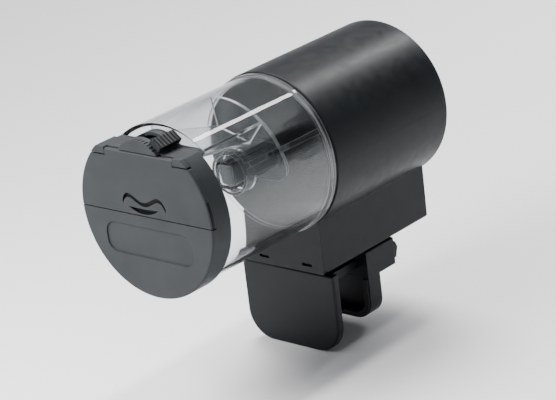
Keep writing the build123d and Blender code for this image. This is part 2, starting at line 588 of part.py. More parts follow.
def radial_wall(degrees, thickness, outline):
    """Plate in a plane through the drum's axis; outline x is Y and outline y is the radius."""
    x, z = polar(1.0, degrees)
    plane = Plane(origin=(0, 0, AXIS_Z), x_dir=(0, 1, 0), z_dir=(z, 0, -x))
    return extrude(plane * outline, amount=thickness / 2, both=True)


def make_dosing_insert():
    """Clear insert: a divider, the sloping chute ahead of it and a lifting wall behind it."""
    reach = DRUM_R - DRUM_T - 0.2
    chute_y = RECESS_Y + 0.3 + DRUM_T
    insert = arc_band(7.6, reach, 3.0, CHUTE_DEG[1], DIVIDER_Y - 0.7, DIVIDER_Y + 0.7)
    rounding = insert.edges().filter_by(Axis.Y).sort_by(Axis.Z)[:2].sort_by(Axis.X)[-1]
    insert = fillet(rounding, 5.0)
    side = make_face(Polyline(
        (chute_y, reach), (DIVIDER_Y, reach), (DIVIDER_Y, CHUTE_REAR_R - 1.4),
        (chute_y, CHUTE_FRONT_R - 1.4), close=True))
    for degrees in CHUTE_DEG:
        insert += radial_wall(degrees, 1.3, side)
    middle = sum(CHUTE_DEG) / 2
    drop = math.cos(math.radians(CHUTE_DEG[1] - middle))
    floor = make_face(Polyline(
        (chute_y, CHUTE_FRONT_R * drop), (DIVIDER_Y, CHUTE_REAR_R * drop),
        (DIVIDER_Y, CHUTE_REAR_R * drop - 1.3), (chute_y, CHUTE_FRONT_R * drop - 1.3),
        close=True))
    wedge = arc_band(3.0, reach, *CHUTE_DEG, chute_y, DIVIDER_Y)
    insert += radial_wall(middle, 60.0, floor) & wedge
    lifter = make_face(Polyline(
        (DIVIDER_Y, reach), (DRUM_BACK_Y - 1.6, reach), (DRUM_BACK_Y - 1.6, 7.8),
        (DIVIDER_Y, 7.8), close=True))
    insert += radial_wall(LIFTER_DEG, 2.2, lifter)
    return insert + ring(8.8, 7.6, DIVIDER_Y - 0.7, DIVIDER_Y + 5.0)


def make_outlet_hood():
    """Arched hood on the flat, closed at both ends, with the outlet window in its top."""
    y_in, y_out = CAP_FACE_Y + FACE_T - 0.4, RECESS_Y - 1.2
    hood = ring(HOOD_R, HOOD_IN_R, y_in, RECESS_Y, 0, HOOD_Z)
    hood += disc(HOOD_R, CAP_FACE_Y, CAP_FACE_Y + FACE_T, 0, HOOD_Z)
    hood += disc(HOOD_R, y_out, RECESS_Y, 0, HOOD_Z)
    hood &= above(FLAT_Z - 0.2, CAP_FACE_Y - 1, RECESS_Y + 1)
    hood -= above(0, CAP_FACE_Y - 1, CAP_FACE_Y + FACE_T) - above(
        FLAT_Z, CAP_FACE_Y - 1, CAP_FACE_Y + FACE_T)
    hood -= arc_band(
        HOOD_IN_R - 1, HOOD_R + 1, *WINDOW_DEG, CAP_FACE_Y + 4.2, CAP_FACE_Y + 9.6, 0, HOOD_Z)
    # graduations round the scale, and two ribs that hold the shutter up against the hood
    for degrees in range(48, 140, 7):
        x, z = polar(HOOD_R + 0.1, degrees)
        hood -= disc(0.42, CAP_FACE_Y - 1, CAP_FACE_Y + FACE_T, x, HOOD_Z + z)
    for y in (y_in, y_out - 1.0):
        hood += arc_band(8.9, 9.7, 60, 120, y, y + 1.4, 0, HOOD_Z)
    return hood


def make_drum_cap():
    """Cap: rim over the drum's end, lower half of the face, flat with the outlet hood."""
    rim = ring(BODY_R, DRUM_R - DRUM_T, CAP_FACE_Y + FACE_T, DRUM_FRONT_Y)
    rim += ring(BODY_R, DRUM_R, DRUM_FRONT_Y, CAP_FACE_Y + RIM_L)
    rim = fillet(rim.edges().filter_by(GeomType.CIRCLE).group_by(Axis.Y)[-1].sort_by(
        SortBy.RADIUS)[-1], 0.7)
    face = disc(BODY_R, CAP_FACE_Y, CAP_FACE_Y + FACE_T)
    face = fillet(face.edges().filter_by(GeomType.CIRCLE).sort_by(Axis.Y)[0], FACE_EDGE_R)
    cap = rim + (face - above(SPLIT_Z, CAP_FACE_Y - 1, CAP_FACE_Y + FACE_T + 1))
    ledge = block(
        (-31, 31), (CAP_FACE_Y + FACE_T - 0.2, CAP_FACE_Y + FACE_T + 1.4),
        (AXIS_Z + SPLIT_Z - 3.0, AXIS_Z + SPLIT_Z + 1.6))
    cap += ledge - block(
        (-32, 32), (CAP_FACE_Y, CAP_FACE_Y + FACE_T), (AXIS_Z + SPLIT_Z, AXIS_Z + 5))
    label = about_axis(0, LABEL_Z) * RectangleRounded(LABEL_W, LABEL_H, 5.0)
    cap -= slab(label, CAP_FACE_Y - 1, CAP_FACE_Y + 0.55)
    cap -= above(FLAT_UNDER_Z, CAP_FACE_Y - 1, RECESS_Y)
    flat = disc(BODY_R, CAP_FACE_Y + FACE_T, CAP_FACE_Y + RIM_L)
    flat += disc(DRUM_R, CAP_FACE_Y + RIM_L, RECESS_Y)
    flat &= above(FLAT_UNDER_Z, CAP_FACE_Y, RECESS_Y) - above(FLAT_Z, CAP_FACE_Y, RECESS_Y)
    ears = disc(BODY_R - 0.1, CAP_FACE_Y, CAP_FACE_Y + FACE_T + 0.3)
    ears &= above(LID_AXIS_Z - AXIS_Z - 1.25, CAP_FACE_Y, CAP_FACE_Y + 5) - above(
        FLAT_Z, CAP_FACE_Y, CAP_FACE_Y + 5)
    ears -= block((-EAR_X, EAR_X), (CAP_FACE_Y - 1, CAP_FACE_Y + 5), (AXIS_Z, AXIS_Z + 40))
    cap += flat - disc(HOOD_IN_R, CAP_FACE_Y + FACE_T, RECESS_Y - 1.2, 0, HOOD_Z)
    cap += ears + make_outlet_hood()
    for side in (-1, 1):
        hole = sorted((side * (EAR_X - 1), side * (EAR_X + 2.6)))
        cap -= pin_x(LID_PIN_R, *hole, LID_AXIS_Y, LID_AXIS_Z)
    return cap


def wave():
    """Outline of the gull-wing band on the lid; points are from the drum's axis."""
    tops = [(-11.0, 5.0), (-8.2, 8.1), (-0.4, 5.2), (7.0, 7.9), (10.8, 4.2)]
    upper = Spline(*tops)
    lower = Spline(*[(x, z - MARK_W) for x, z in reversed(tops)])
    return make_face([upper, Line(upper @ 1, lower @ 0), lower, Line(lower @ 1, upper @ 0)])


def make_fill_lid():
    """Upper half of the cap's face, hinged at the flat, with a finger notch at its lower edge."""
    back = CAP_FACE_Y + FACE_T - 0.1
    lid = disc(BODY_R, CAP_FACE_Y, back)
    lid = fillet(lid.edges().filter_by(GeomType.CIRCLE).sort_by(Axis.Y)[0], FACE_EDGE_R)
    lid &= block((-40, 40), (CAP_FACE_Y - 1, back + 1), (AXIS_Z + SPLIT_Z + LID_GAP, LID_AXIS_Z))
    lid -= above(LID_AXIS_Z - AXIS_Z - 1.9, CAP_FACE_Y - 1, back + 1) - block(
        (-EAR_X + 0.2, EAR_X - 0.2), (CAP_FACE_Y - 2, back + 2), (AXIS_Z, AXIS_Z + 60))
    lid += pin_x((back - CAP_FACE_Y) / 2, -EAR_X + 0.2, EAR_X - 0.2, LID_AXIS_Y, LID_AXIS_Z)
    for side in (-1, 1):
        hole = sorted((side * (EAR_X - 2.4), side * (EAR_X + 1)))
        lid -= pin_x(LID_PIN_R + BORE_GAP, *hole, LID_AXIS_Y, LID_AXIS_Z)
        ends = (18, 44) if side > 0 else (136, 162)
        lid += arc_band(28.6, 29.6, *ends, back - 0.2, back + 1.2)
    lid -= slab(about_axis() * wave(), CAP_FACE_Y - 1, CAP_FACE_Y + MARK_T)
    notch = make_face([
        ThreePointArc((-8.4, 2.9), (-0.6, 0.5), (6.9, 3.1)),
        ThreePointArc((6.9, 3.1), (-0.6, 2.7), (-8.4, 2.9))])
    return lid - slab(about_axis() * notch, CAP_FACE_Y - 1, CAP_FACE_Y + 1.4)


def make_shutter():
    """Curved slide inside the hood; its neck comes out through the outlet window."""
    plate = arc_band(
        9.85, HOOD_IN_R - SLIDE_GAP, GRIP_DEG - 60, GRIP_DEG + 8,
        CAP_FACE_Y + FACE_T + 0.2, RECESS_Y - 1.4, 0, HOOD_Z)
    x, z = polar(1.0, GRIP_DEG)
    plane = Plane(origin=(0, 0, AXIS_Z + HOOD_Z), x_dir=(0, 1, 0), z_dir=(z, 0, -x))
    neck = Pos(CAP_FACE_Y + 6.9, (10.5 + GRIP_IN_R) / 2) * Rectangle(4.6, GRIP_IN_R - 10.5)
    return plate + extrude(plane * neck, amount=1.5, both=True)


def make_shutter_grip():
    """Ribbed finger grip on the shutter's neck."""
    x, z = polar(1.0, GRIP_DEG)
    plane = Plane(origin=(0, 0, AXIS_Z + HOOD_Z), x_dir=(0, 1, 0), z_dir=(z, 0, -x))
    middle_y = CAP_FACE_Y + 6.9
    outline = Pos(middle_y, GRIP_IN_R + GRIP_T / 2) * RectangleRounded(GRIP_L, GRIP_T, 0.5)
    grip = extrude(plane * outline, amount=GRIP_W / 2, both=True)
    ribs = 7
    for i in range(ribs):
        y = middle_y + (i - (ribs - 1) / 2) * GRIP_L / ribs
        groove = Pos(y, GRIP_IN_R + GRIP_T) * Circle(0.45)
        grip -= extrude(plane * groove, amount=GRIP_W, both=True)
    return grip


def make_drum():
    save("drum_shell", make_drum_shell())
    save("dosing_insert", make_dosing_insert())
    save("drum_cap", make_drum_cap())
    save("fill_lid", make_fill_lid())
    save_group("lid_pins", [
        pin_x(LID_PIN_R, *sorted((side * (EAR_X - 2.2), side * (EAR_X + 2.4))),
              LID_AXIS_Y, LID_AXIS_Z)
        for side in (-1, 1)])
    save("portion_shutter", make_shutter())
    save("shutter_grip", make_shutter_grip())


# ---------------------------------------------------------------- clamp
def make_clamp_bracket():
    """Front plate and rail in one piece; two snap tongues catch the battery box."""
    top = BOX_BOTTOM_Z - 0.05
    centre_z = (PLATE_BOTTOM_Z + top) / 2
    outline = Pos(0, centre_z) * Rectangle(2 * PLATE_W, top - PLATE_BOTTOM_Z)
    outline = fillet(outline.vertices().sort_by(Axis.Y)[:2], PLATE_CORNER_R)
    plate = slab(outline, SEAM_Y, PLATE_BACK_Y)
    plate = fillet(plate.faces().sort_by(Axis.Y)[0].edges(), 0.9)
    rail = block(
        (-RAIL_W, RAIL_W), (PLATE_BACK_Y - 0.5, CARRIAGE_END_Y), (SEAT_H, RAIL_T))
    rail += block((-SEAT_W, SEAT_W), (PLATE_BACK_Y + PAD_T + 0.6, JAW_Y - 1.4), (0, RAIL_T / 2))
    rail += block(
        (-RAIL_NECK_W, RAIL_NECK_W), (PLATE_BACK_Y - 0.5, CARRIAGE_END_Y), (RAIL_T - 0.1, top))
    bracket = plate + rail
    for side in (-1, 1):
        x = sorted((side * 9.0, side * 13.2))
        bracket += block(x, (TONGUE_Y, PLATE_BACK_Y), (top - 1, BOX_BOTTOM_Z + 4.0))
        barb_z = (BOX_BOTTOM_Z + 2.8, BOX_BOTTOM_Z + 3.6)
        bracket += block(x, (TONGUE_Y - 1.2, TONGUE_Y + 0.1), barb_z)
    for y in RAIL_SCREWS_Y:
        bracket -= Pos(0, y, 0) * Cylinder(SCREW_R + 0.1, 30)
        bracket -= Pos(0, y, 0) * Cylinder(HEAD_SINK_R, 3.2)
    return bracket


def make_glass_pad():
    outline = Pos(0, -12.0) * RectangleRounded(38.0, 19.0, 6.0)
    pad = slab(outline, PLATE_BACK_Y, PLATE_BACK_Y + PAD_T)
    for z in (-18.0, -14.0, -10.0, -6.0):
        pad -= block((-20, 20), (PLATE_BACK_Y + 0.8, PLATE_BACK_Y + 2), (z - 0.4, z + 0.4))
    return pad


def jaw_outline(inset, top):
    height = top - JAW_BOTTOM_Z - inset
    shape = Pos(0, top - height / 2) * Rectangle(2 * (BOX_W - inset), height)
    return fillet(shape.vertices().sort_by(Axis.Y)[:2], JAW_CORNER_R - inset)


def make_jaw_carriage():
    """Jaw plate hollowed at its front, under a carriage that wraps the rail's flange."""
    top = BOX_BOTTOM_Z - 0.3
    jaw = block(
        (-BOX_W, BOX_W), (JAW_Y, CARRIAGE_END_Y), (CARRIAGE_BOTTOM_Z, top))
    jaw = fillet(jaw.edges().filter_by(Axis.Y), EDGE_R)
    jaw += slab(jaw_outline(0.0, CARRIAGE_BOTTOM_Z + 0.5), JAW_Y, JAW_Y + JAW_T)
    jaw -= slab(jaw_outline(3.0, CARRIAGE_BOTTOM_Z), JAW_Y - 1, JAW_Y + 4.0)
    flange, neck = RAIL_W + SLIDE_GAP, RAIL_NECK_W + SLIDE_GAP
    span = (JAW_Y - 1, CARRIAGE_END_Y + 1)
    jaw -= block((-flange, flange), span, (SEAT_H - SLIDE_GAP, RAIL_T + SLIDE_GAP))
    jaw -= block((-SEAT_W - SLIDE_GAP, SEAT_W + SLIDE_GAP), span, (-SLIDE_GAP, RAIL_T))
    jaw -= block((-neck, neck), span, (RAIL_T, top + 1))
    for side in (-1, 1):
        x = sorted((side * 11.7, side * 17.3))
        jaw -= block(x, (LEVER_Y - 2.6, CARRIAGE_END_Y + 1), (RAIL_T, top + 1))
        pin = sorted((side * (neck - 1), side * (BOX_W - 0.6)))
        jaw -= pin_x(HINGE_R, *pin, LEVER_Y, LEVER_Z)
    return jaw


def make_jaw_pad():
    """Thin rubber edging on the jaw's rim."""
    top = CARRIAGE_BOTTOM_Z
    outline = jaw_outline(0.4, top) - jaw_outline(2.6, top)
    return slab(outline, JAW_Y - 0.8, JAW_Y)


def make_lock_lever(side):
    """Cam lever beside the rail: its cam bears on the flange when the paddle hangs down."""
    face_y = CARRIAGE_END_Y + SLIDE_GAP
    paddle = make_face(Polyline(
        (face_y, LEVER_Z - 0.9), (LEVER_Y + 2.7, LEVER_Z - 0.2), (face_y + 2.4, 3.2),
        (face_y + 1.9, 1.6), (face_y + 1.1, -0.9), (face_y, -0.9), close=True))
    bridge = make_face(Polyline(
        (LEVER_Y, LEVER_Z + 1.7), (face_y + 0.3, LEVER_Z - 0.4), (face_y + 0.3, LEVER_Z - 1.7),
        (LEVER_Y, LEVER_Z - 1.7), close=True))
    cam = Pos(LEVER_Y, LEVER_Z) * Circle(1.75) + Pos(LEVER_Y, LEVER_Z - 0.72) * Circle(1.3)
    hub_x = sorted((side * 12.0, side * 17.0))
    lever = side_slab(paddle, *sorted((side * (RAIL_W + 0.4), side * (BOX_W - 0.2))))
    lever += side_slab(cam + bridge, *hub_x)
    return lever - pin_x(HINGE_R + BORE_GAP, hub_x[0] - 1, hub_x[1] + 1, LEVER_Y, LEVER_Z)


def make_clamp():
    save("clamp_bracket", make_clamp_bracket())
    save_group("bracket_screws", [
        screw(0, y, 1.6, 180, BOX_BOTTOM_Z + WALL - 1.8) for y in RAIL_SCREWS_Y])
    save("glass_pad", make_glass_pad())
    save("jaw_carriage", make_jaw_carriage())
    save("jaw_pad", make_jaw_pad())
    save("lock_lever_left", make_lock_lever(-1))
    save("lock_lever_right", make_lock_lever(1))
    save_group("lock_pins", [
        pin_x(HINGE_R, *sorted((side * (RAIL_NECK_W + 0.4), side * (BOX_W - 0.7))),
              LEVER_Y, LEVER_Z)
        for side in (-1, 1)])


make_housing()
make_drive()
make_controls()
make_batteries()
make_drum()
make_clamp()
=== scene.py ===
import json
import math

import bmesh
import bpy
from mathutils import Matrix, Vector


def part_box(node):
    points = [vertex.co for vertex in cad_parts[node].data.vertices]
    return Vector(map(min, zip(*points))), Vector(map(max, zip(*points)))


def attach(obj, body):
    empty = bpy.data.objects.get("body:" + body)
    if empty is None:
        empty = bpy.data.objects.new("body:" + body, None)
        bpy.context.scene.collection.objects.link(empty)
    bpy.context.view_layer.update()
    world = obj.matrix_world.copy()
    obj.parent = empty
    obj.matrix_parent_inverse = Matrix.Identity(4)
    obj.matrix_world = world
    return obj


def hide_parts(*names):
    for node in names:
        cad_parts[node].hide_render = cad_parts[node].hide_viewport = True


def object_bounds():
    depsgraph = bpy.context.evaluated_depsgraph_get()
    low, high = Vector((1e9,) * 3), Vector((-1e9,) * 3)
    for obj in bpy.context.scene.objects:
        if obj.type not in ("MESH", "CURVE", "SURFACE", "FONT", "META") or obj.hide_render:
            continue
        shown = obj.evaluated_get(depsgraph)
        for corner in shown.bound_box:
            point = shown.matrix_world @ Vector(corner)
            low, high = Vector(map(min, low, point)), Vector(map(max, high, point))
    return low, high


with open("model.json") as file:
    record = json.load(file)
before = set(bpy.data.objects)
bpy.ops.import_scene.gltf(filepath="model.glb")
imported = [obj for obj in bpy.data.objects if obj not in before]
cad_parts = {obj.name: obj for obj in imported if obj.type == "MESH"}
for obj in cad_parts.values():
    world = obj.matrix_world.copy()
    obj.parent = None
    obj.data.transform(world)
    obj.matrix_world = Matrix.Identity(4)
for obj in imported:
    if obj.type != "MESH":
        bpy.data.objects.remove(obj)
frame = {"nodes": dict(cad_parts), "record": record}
CAD_LOW, CAD_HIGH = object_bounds()
RECORD = frame["record"]
NODES = frame["nodes"]
MM = 0.001

SLOT_OF = {part["node"]: part["material_slot"] for part in RECORD["subparts"]}


# ---------------------------------------------------------------- material helpers
def srgb(*levels):
    """Linear colour from 0-255 display levels."""
    def linear(level):
        c = level / 255
        return c / 12.92 if c <= 0.04045 else ((c + 0.055) / 1.055) ** 2.4
    return (*[linear(level) for level in levels], 1.0)


class Maker:
    """Small wrapper that builds one node material, its patterns in object space (metres)."""

    def __init__(self, name):
        self.material = bpy.data.materials.new(name)
        self.material.use_nodes = True
        self.tree = self.material.node_tree
        self.shader = self.tree.nodes["Principled BSDF"]
        self.place = self.add("ShaderNodeTexCoord").outputs["Object"]

    def add(self, kind, inputs=None, **settings):
        node = self.tree.nodes.new(kind)
        for key, value in settings.items():
            setattr(node, key, value)
        for key, value in (inputs or {}).items():
            if isinstance(value, bpy.types.NodeSocket):
                self.tree.links.new(value, node.inputs[key])
            else:
                node.inputs[key].default_value = value
        return node

    def noise(self, size, detail=2.0, stretch=None):
        """Noise whose blobs are about size metres across; stretch scales it along each axis."""
        place = self.place
        if stretch:
            place = self.add(
                "ShaderNodeMapping", {"Vector": place, "Scale": stretch}).outputs["Vector"]
        node = self.add(
            "ShaderNodeTexNoise", {"Vector": place, "Scale": 1 / size, "Detail": detail})
        return node.outputs["Fac"]

    def spread(self, value, low, high, start=0.3, end=0.7):
        """Map a pattern's middle range onto low..high."""
        node = self.add("ShaderNodeMapRange", {
            "Value": value, "From Min": start, "From Max": end, "To Min": low, "To Max": high})
        return node.outputs["Result"]

    def mix(self, factor, first, second):
        """Blend two colours; sockets 0, 6 and 7 are the mix node's factor and its two colours."""
        node = self.add("ShaderNodeMix", data_type="RGBA")
        for index, value in ((0, factor), (6, first), (7, second)):
            if isinstance(value, bpy.types.NodeSocket):
                self.tree.links.new(value, node.inputs[index])
            else:
                node.inputs[index].default_value = value
        return node.outputs[2]

    def bump(self, height, depth, strength=1.0, under=None):
        """Shading normal raised by a pattern, over another normal where one is given."""
        inputs = {"Height": height, "Distance": depth, "Strength": strength}
        if under is not None:
            inputs["Normal"] = under
        return self.add("ShaderNodeBump", inputs).outputs["Normal"]

    def edge(self, radius):
        """Shading normal that rounds sharp edges over a radius."""
        return self.add("ShaderNodeBevel", {"Radius": radius}, samples=6).outputs["Normal"]

    def edge_wear_and_highlight(self, radius):
        """0 on open faces, up to 1 along edges: how far the rounded normal leaves the true one; it
        masks worn edges and painted edge highlights.
        """
        true = self.add("ShaderNodeNewGeometry").outputs["Normal"]
        dot = self.add("ShaderNodeVectorMath", operation="DOT_PRODUCT")
        self.tree.links.new(self.edge(radius), dot.inputs[0])
        self.tree.links.new(true, dot.inputs[1])
        return self.spread(dot.outputs["Value"], 1.0, 0.0, 0.86, 0.995)

    def inside(self, low, high):
        """1 inside the box between two corners, 0 outside it."""
        place = self.add("ShaderNodeSeparateXYZ", {"Vector": self.place}).outputs
        result = 1.0
        for axis in range(3):
            for limit, test in ((low[axis], "GREATER_THAN"), (high[axis], "LESS_THAN")):
                passed = self.add("ShaderNodeMath", {0: place[axis], 1: limit}, operation=test)
                both = self.add(
                    "ShaderNodeMath", {0: result, 1: passed.outputs[0]}, operation="MULTIPLY")
                result = both.outputs[0]
        return result

    def link(self, **sockets):
        """Feed the shader's sockets, named with _ for each space."""
        for key, value in sockets.items():
            socket = self.shader.inputs[key.replace("_", " ")]
            if isinstance(value, bpy.types.NodeSocket):
                self.tree.links.new(value, socket)
            else:
                socket.default_value = value


def moulded(name, colour, rough=0.42, grain=0.25 * MM, depth=0.003 * MM, edge=0.35 * MM,
            worn=1.5, specular=0.14, painted_shade_box=None):
    """Injection-moulded plastic: fine spark-eroded grain, faint flow clouds, paler worn edges.

    An optional box, as two corners, marks where the surface is painted near black: painted shade in the
    recesses inside it.
    """
    m = Maker(name)
    dark = tuple(0.86 * c for c in colour[:3]) + (1.0,)
    pale = tuple(1.1 * c for c in colour[:3]) + (1.0,)
    edge_colour = tuple(worn * c + 0.004 for c in colour[:3]) + (1.0,)
    clouds = m.spread(m.noise(14 * MM, 3.0), 0.0, 1.0)
    scuffs = m.spread(m.noise(1.3 * MM, 6.0), 0.0, 1.0, 0.35, 0.75)
    base = m.mix(clouds, dark, pale)
    rub = m.add("ShaderNodeMath", {0: m.edge_wear_and_highlight(1.2 * edge), 1: scuffs}, operation="MULTIPLY")
    base = m.mix(rub.outputs[0], base, edge_colour)
    if painted_shade_box:
        # painted shade: the recesses inside the box painted near black
        base = m.mix(m.inside(*painted_shade_box), base, srgb(7, 8, 9))
    m.link(Base_Color=base)
    m.link(Roughness=m.spread(m.noise(4 * MM, 4.0), rough - 0.05, rough + 0.06))
    m.shader.inputs["Specular IOR Level"].default_value = specular
    m.link(Normal=m.bump(m.noise(grain, 1.0), depth, 0.7, m.edge(edge)))
    return m.material


def clear_plastic(name, tint, rough=0.03, milk=0.0, coat=0.35, edge=0.25 * MM, lit=0.7):
    """Clear thin moulding: faint haze and hairline scratches; its edges carry a painted highlight, pale
    and less clear, in place of the light they gather.
    """
    m = Maker(name)
    haze = m.spread(m.noise(9 * MM, 3.0), 0.0, 1.0, 0.4, 0.8)
    base = m.mix(haze, tint, tuple(0.97 * c for c in tint[:3]) + (1.0,))
    # painted highlight: edges painted pale and made less clear, standing in for light gathered in them
    painted_edge_highlight = m.edge_wear_and_highlight(edge)
    m.link(Base_Color=m.mix(painted_edge_highlight, base, (0.8, 0.83, 0.86, 1.0)))
    m.link(Transmission_Weight=m.spread(painted_edge_highlight, 1.0 - milk, 1.0 - lit, 0.0, 1.0))
    scratch = m.noise(0.6 * MM, 3.0, (1.0, 0.06, 1.0))
    m.link(Roughness=m.spread(scratch, rough, rough + 0.06, 0.55, 0.8))
    m.shader.inputs["IOR"].default_value = 1.14
    m.shader.inputs["Coat Weight"].default_value = coat
    m.shader.inputs["Coat Roughness"].default_value = 0.04
    ripple = m.noise(12 * MM, 1.0, (1.0, 0.4, 1.0))
    m.link(Normal=m.bump(ripple, 0.05 * MM, 0.35))
    return m.material


def metal(name, colour, rough=0.3, brush=(1.0, 1.0, 1.0), tarnish=0.8):
    """Plated or turned metal: fine tool marks, dull patches and soft edges."""
    m = Maker(name)
    dull = tuple(tarnish * c for c in colour[:3]) + (1.0,)
    m.link(Base_Color=m.mix(m.spread(m.noise(2.5 * MM, 4.0), 0.0, 1.0), colour, dull))
    marks = m.noise(0.12 * MM, 2.0, brush)
    m.link(Roughness=m.spread(marks, rough - 0.07, rough + 0.1))
    m.shader.inputs["Metallic"].default_value = 1.0
    m.link(Normal=m.bump(marks, 0.006 * MM, 0.6, m.edge(0.12 * MM)))
    return m.material


def rubber(name, colour):
    """Soft black pad rubber, dusty in patches."""
    m = Maker(name)
    dusty = tuple(1.6 * c + 0.01 for c in colour[:3]) + (1.0,)
    m.link(Base_Color=m.mix(m.spread(m.noise(3 * MM, 5.0), 0.0, 0.6), colour, dusty))
    m.link(Roughness=m.spread(m.noise(1 * MM, 3.0), 0.75, 0.92))
    m.shader.inputs["Specular IOR Level"].default_value = 0.35
    m.link(Normal=m.bump(m.noise(0.3 * MM, 3.0), 0.03 * MM, 0.8, m.edge(0.25 * MM)))
    return m.material


def board_laminate(name):
    """Green solder mask over glass cloth, with paler copper runs below it."""
    m = Maker(name)
    runs = m.add("ShaderNodeTexBrick", {
        "Vector": m.add("ShaderNodeMapping", {
            "Vector": m.place, "Rotation": (math.pi / 2, 0, 0)}).outputs["Vector"],
        "Color1": (0, 0, 0, 1), "Color2": (0, 0, 0, 1), "Mortar": (1, 1, 1, 1),
        "Scale": 260.0, "Mortar Size": 0.06}).outputs["Color"]
    m.link(Base_Color=m.mix(
        m.add("ShaderNodeSeparateColor", {"Color": runs}).outputs[0],
        srgb(20, 74, 40), srgb(52, 122, 66)))
    m.link(Roughness=m.spread(m.noise(0.5 * MM, 2.0), 0.28, 0.42))
    m.link(Normal=m.bump(m.noise(0.35 * MM, 1.0), 0.01 * MM, 0.6))
    return m.material


def cell_sleeve(name):
    """Shrunk film sleeve of a plain cell: two plain bands of colour that meet at one Y."""
    m = Maker(name)
    band_y = 19.5 * MM
    along = m.add("ShaderNodeSeparateXYZ", {"Vector": m.place}).outputs["Y"]
    band = m.spread(along, 0.0, 1.0, band_y, band_y + 0.2 * MM)
    speckle = m.spread(m.noise(0.2 * MM, 2.0), 0.0, 0.5)
    green = m.mix(speckle, srgb(58, 116, 74), srgb(76, 136, 92))
    grey = m.mix(speckle, srgb(56, 60, 64), srgb(74, 78, 82))
    m.link(Base_Color=m.mix(band, green, grey))
    m.link(Roughness=m.spread(m.noise(2 * MM, 3.0), 0.22, 0.34))
    m.shader.inputs["Coat Weight"].default_value = 0.4
    m.link(Normal=m.bump(m.noise(3 * MM, 3.0), 0.03 * MM, 0.5))
    return m.material


def lamp_lens(name):
    """Cloudy green lens of the status light."""
    m = Maker(name)
    tint = m.mix(m.noise(0.6 * MM, 2.0), srgb(84, 200, 110), srgb(110, 220, 130))
    m.link(Base_Color=tint)
    m.link(Roughness=m.spread(m.noise(0.4 * MM, 2.0), 0.1, 0.2))
    m.shader.inputs["Transmission Weight"].default_value = 0.6
    m.shader.inputs["Subsurface Weight"].default_value = 0.2
    return m.material


BLACK = srgb(24, 27, 29)
CAP_GREY = srgb(48, 51, 53)
MATERIALS = {
    "body_plastic": moulded("body_plastic", BLACK, rough=0.37),
    "cap_plastic": moulded("cap_plastic", CAP_GREY, rough=0.45),
    "clear_plastic": clear_plastic("clear_plastic", (0.955, 0.97, 0.975, 1.0)),
    "pad_rubber": rubber("pad_rubber", srgb(30, 31, 32)),
    "gear_plastic": moulded("gear_plastic", srgb(226, 222, 208), rough=0.4, worn=0.9),
    "gear_plate_plastic": moulded("gear_plate_plastic", srgb(120, 123, 125), worn=1.1),
    "end_cap_plastic": moulded("end_cap_plastic", srgb(214, 212, 202), worn=0.95),
    "brass": metal("brass", srgb(206, 170, 96), 0.28, (1, 0.05, 1), 0.75),
    "steel": metal("steel", srgb(150, 152, 154), 0.32, (1, 0.05, 1)),
    "spring_steel": metal("spring_steel", srgb(200, 198, 192), 0.24),
    "motor_steel": metal("motor_steel", srgb(168, 170, 172), 0.34, (0.05, 1, 0.05)),
    "board_green": board_laminate("board_green"),
    "chip_plastic": moulded("chip_plastic", srgb(32, 33, 34), rough=0.5, worn=1.2),
    "led_plastic": lamp_lens("led_plastic"),
    "cell_wrap": cell_sleeve("cell_wrap"),
    "button_plastic": moulded("button_plastic", srgb(112, 114, 116), rough=0.4, worn=1.2),
    "print_white": moulded("print_white", srgb(196, 198, 198), rough=0.5, worn=1.0),
}
LID_LOW, LID_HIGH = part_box("fill_lid")
NOTCH_PAINTED_SHADE = (                            # box round the recesses low in the lid's face, painted near black as painted shade
    (LID_LOW.x, LID_LOW.y + 0.4 * MM, LID_LOW.z),
    (LID_HIGH.x, LID_LOW.y + 1.6 * MM, LID_LOW.z + 10 * MM))
OWN_FINISH = {
    "fill_lid": moulded("lid_plastic", CAP_GREY, rough=0.45, painted_shade_box=NOTCH_PAINTED_SHADE),
    "dosing_insert": clear_plastic("insert_plastic", (0.8, 0.82, 0.84, 1.0), 0.1, 0.04, 0.2),
    "drive_shaft": moulded("shaft_plastic", srgb(92, 95, 98), worn=1.5),
}
for node, obj in NODES.items():
    for material_slot in obj.material_slots:
        material_slot.material = OWN_FINISH.get(node, MATERIALS[SLOT_OF[node]])


# ---------------------------------------------------------------- Blender-made pieces
def make_piece(name, build, body, slot, materials, *replaced):
    """Turn a bmesh into a smooth piece that rides on a body."""
    bmesh.ops.recalc_face_normals(build, faces=build.faces)
    mesh = bpy.data.meshes.new(name)
    build.to_mesh(mesh)
    build.free()
    piece = bpy.data.objects.new(name, mesh)
    bpy.context.scene.collection.objects.link(piece)
    for material in materials:
        mesh.materials.append(material)
    mesh.polygons.foreach_set("use_smooth", [True] * len(mesh.polygons))
    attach(piece, body)
    if replaced:
        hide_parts(*replaced)
    return piece


def close_rings(build, rings, around):
    """Skin a list of closed vertex rings and cap both ends, the caps being the last two faces."""
    faces = []
    for first, second in zip(rings, rings[1:]):
        for i in range(around):
            j = (i + 1) % around
            faces.append(build.faces.new((first[i], first[j], second[j], second[i])))
    build.faces.new(rings[0])
    build.faces.new(rings[-1])
    return faces


def lathe_y(build, centre, profile, around=48):
    """Turn (y, radius, material index) stations about an axis along Y through centre."""
    rings = []
    for y, radius, _ in profile:
        angles = [2 * math.pi * i / around for i in range(around)]
        rings.append([
            build.verts.new((
                centre.x + radius * math.cos(a), y, centre.z + radius * math.sin(a)))
            for a in angles])
    faces = close_rings(build, rings, around)
    for index, face in enumerate(faces):
        face.material_index = profile[index // around + 1][2]
    build.faces.ensure_lookup_table()
    for face, station in ((build.faces[-2], profile[0]), (build.faces[-1], profile[-1])):
        face.material_index = station[2]


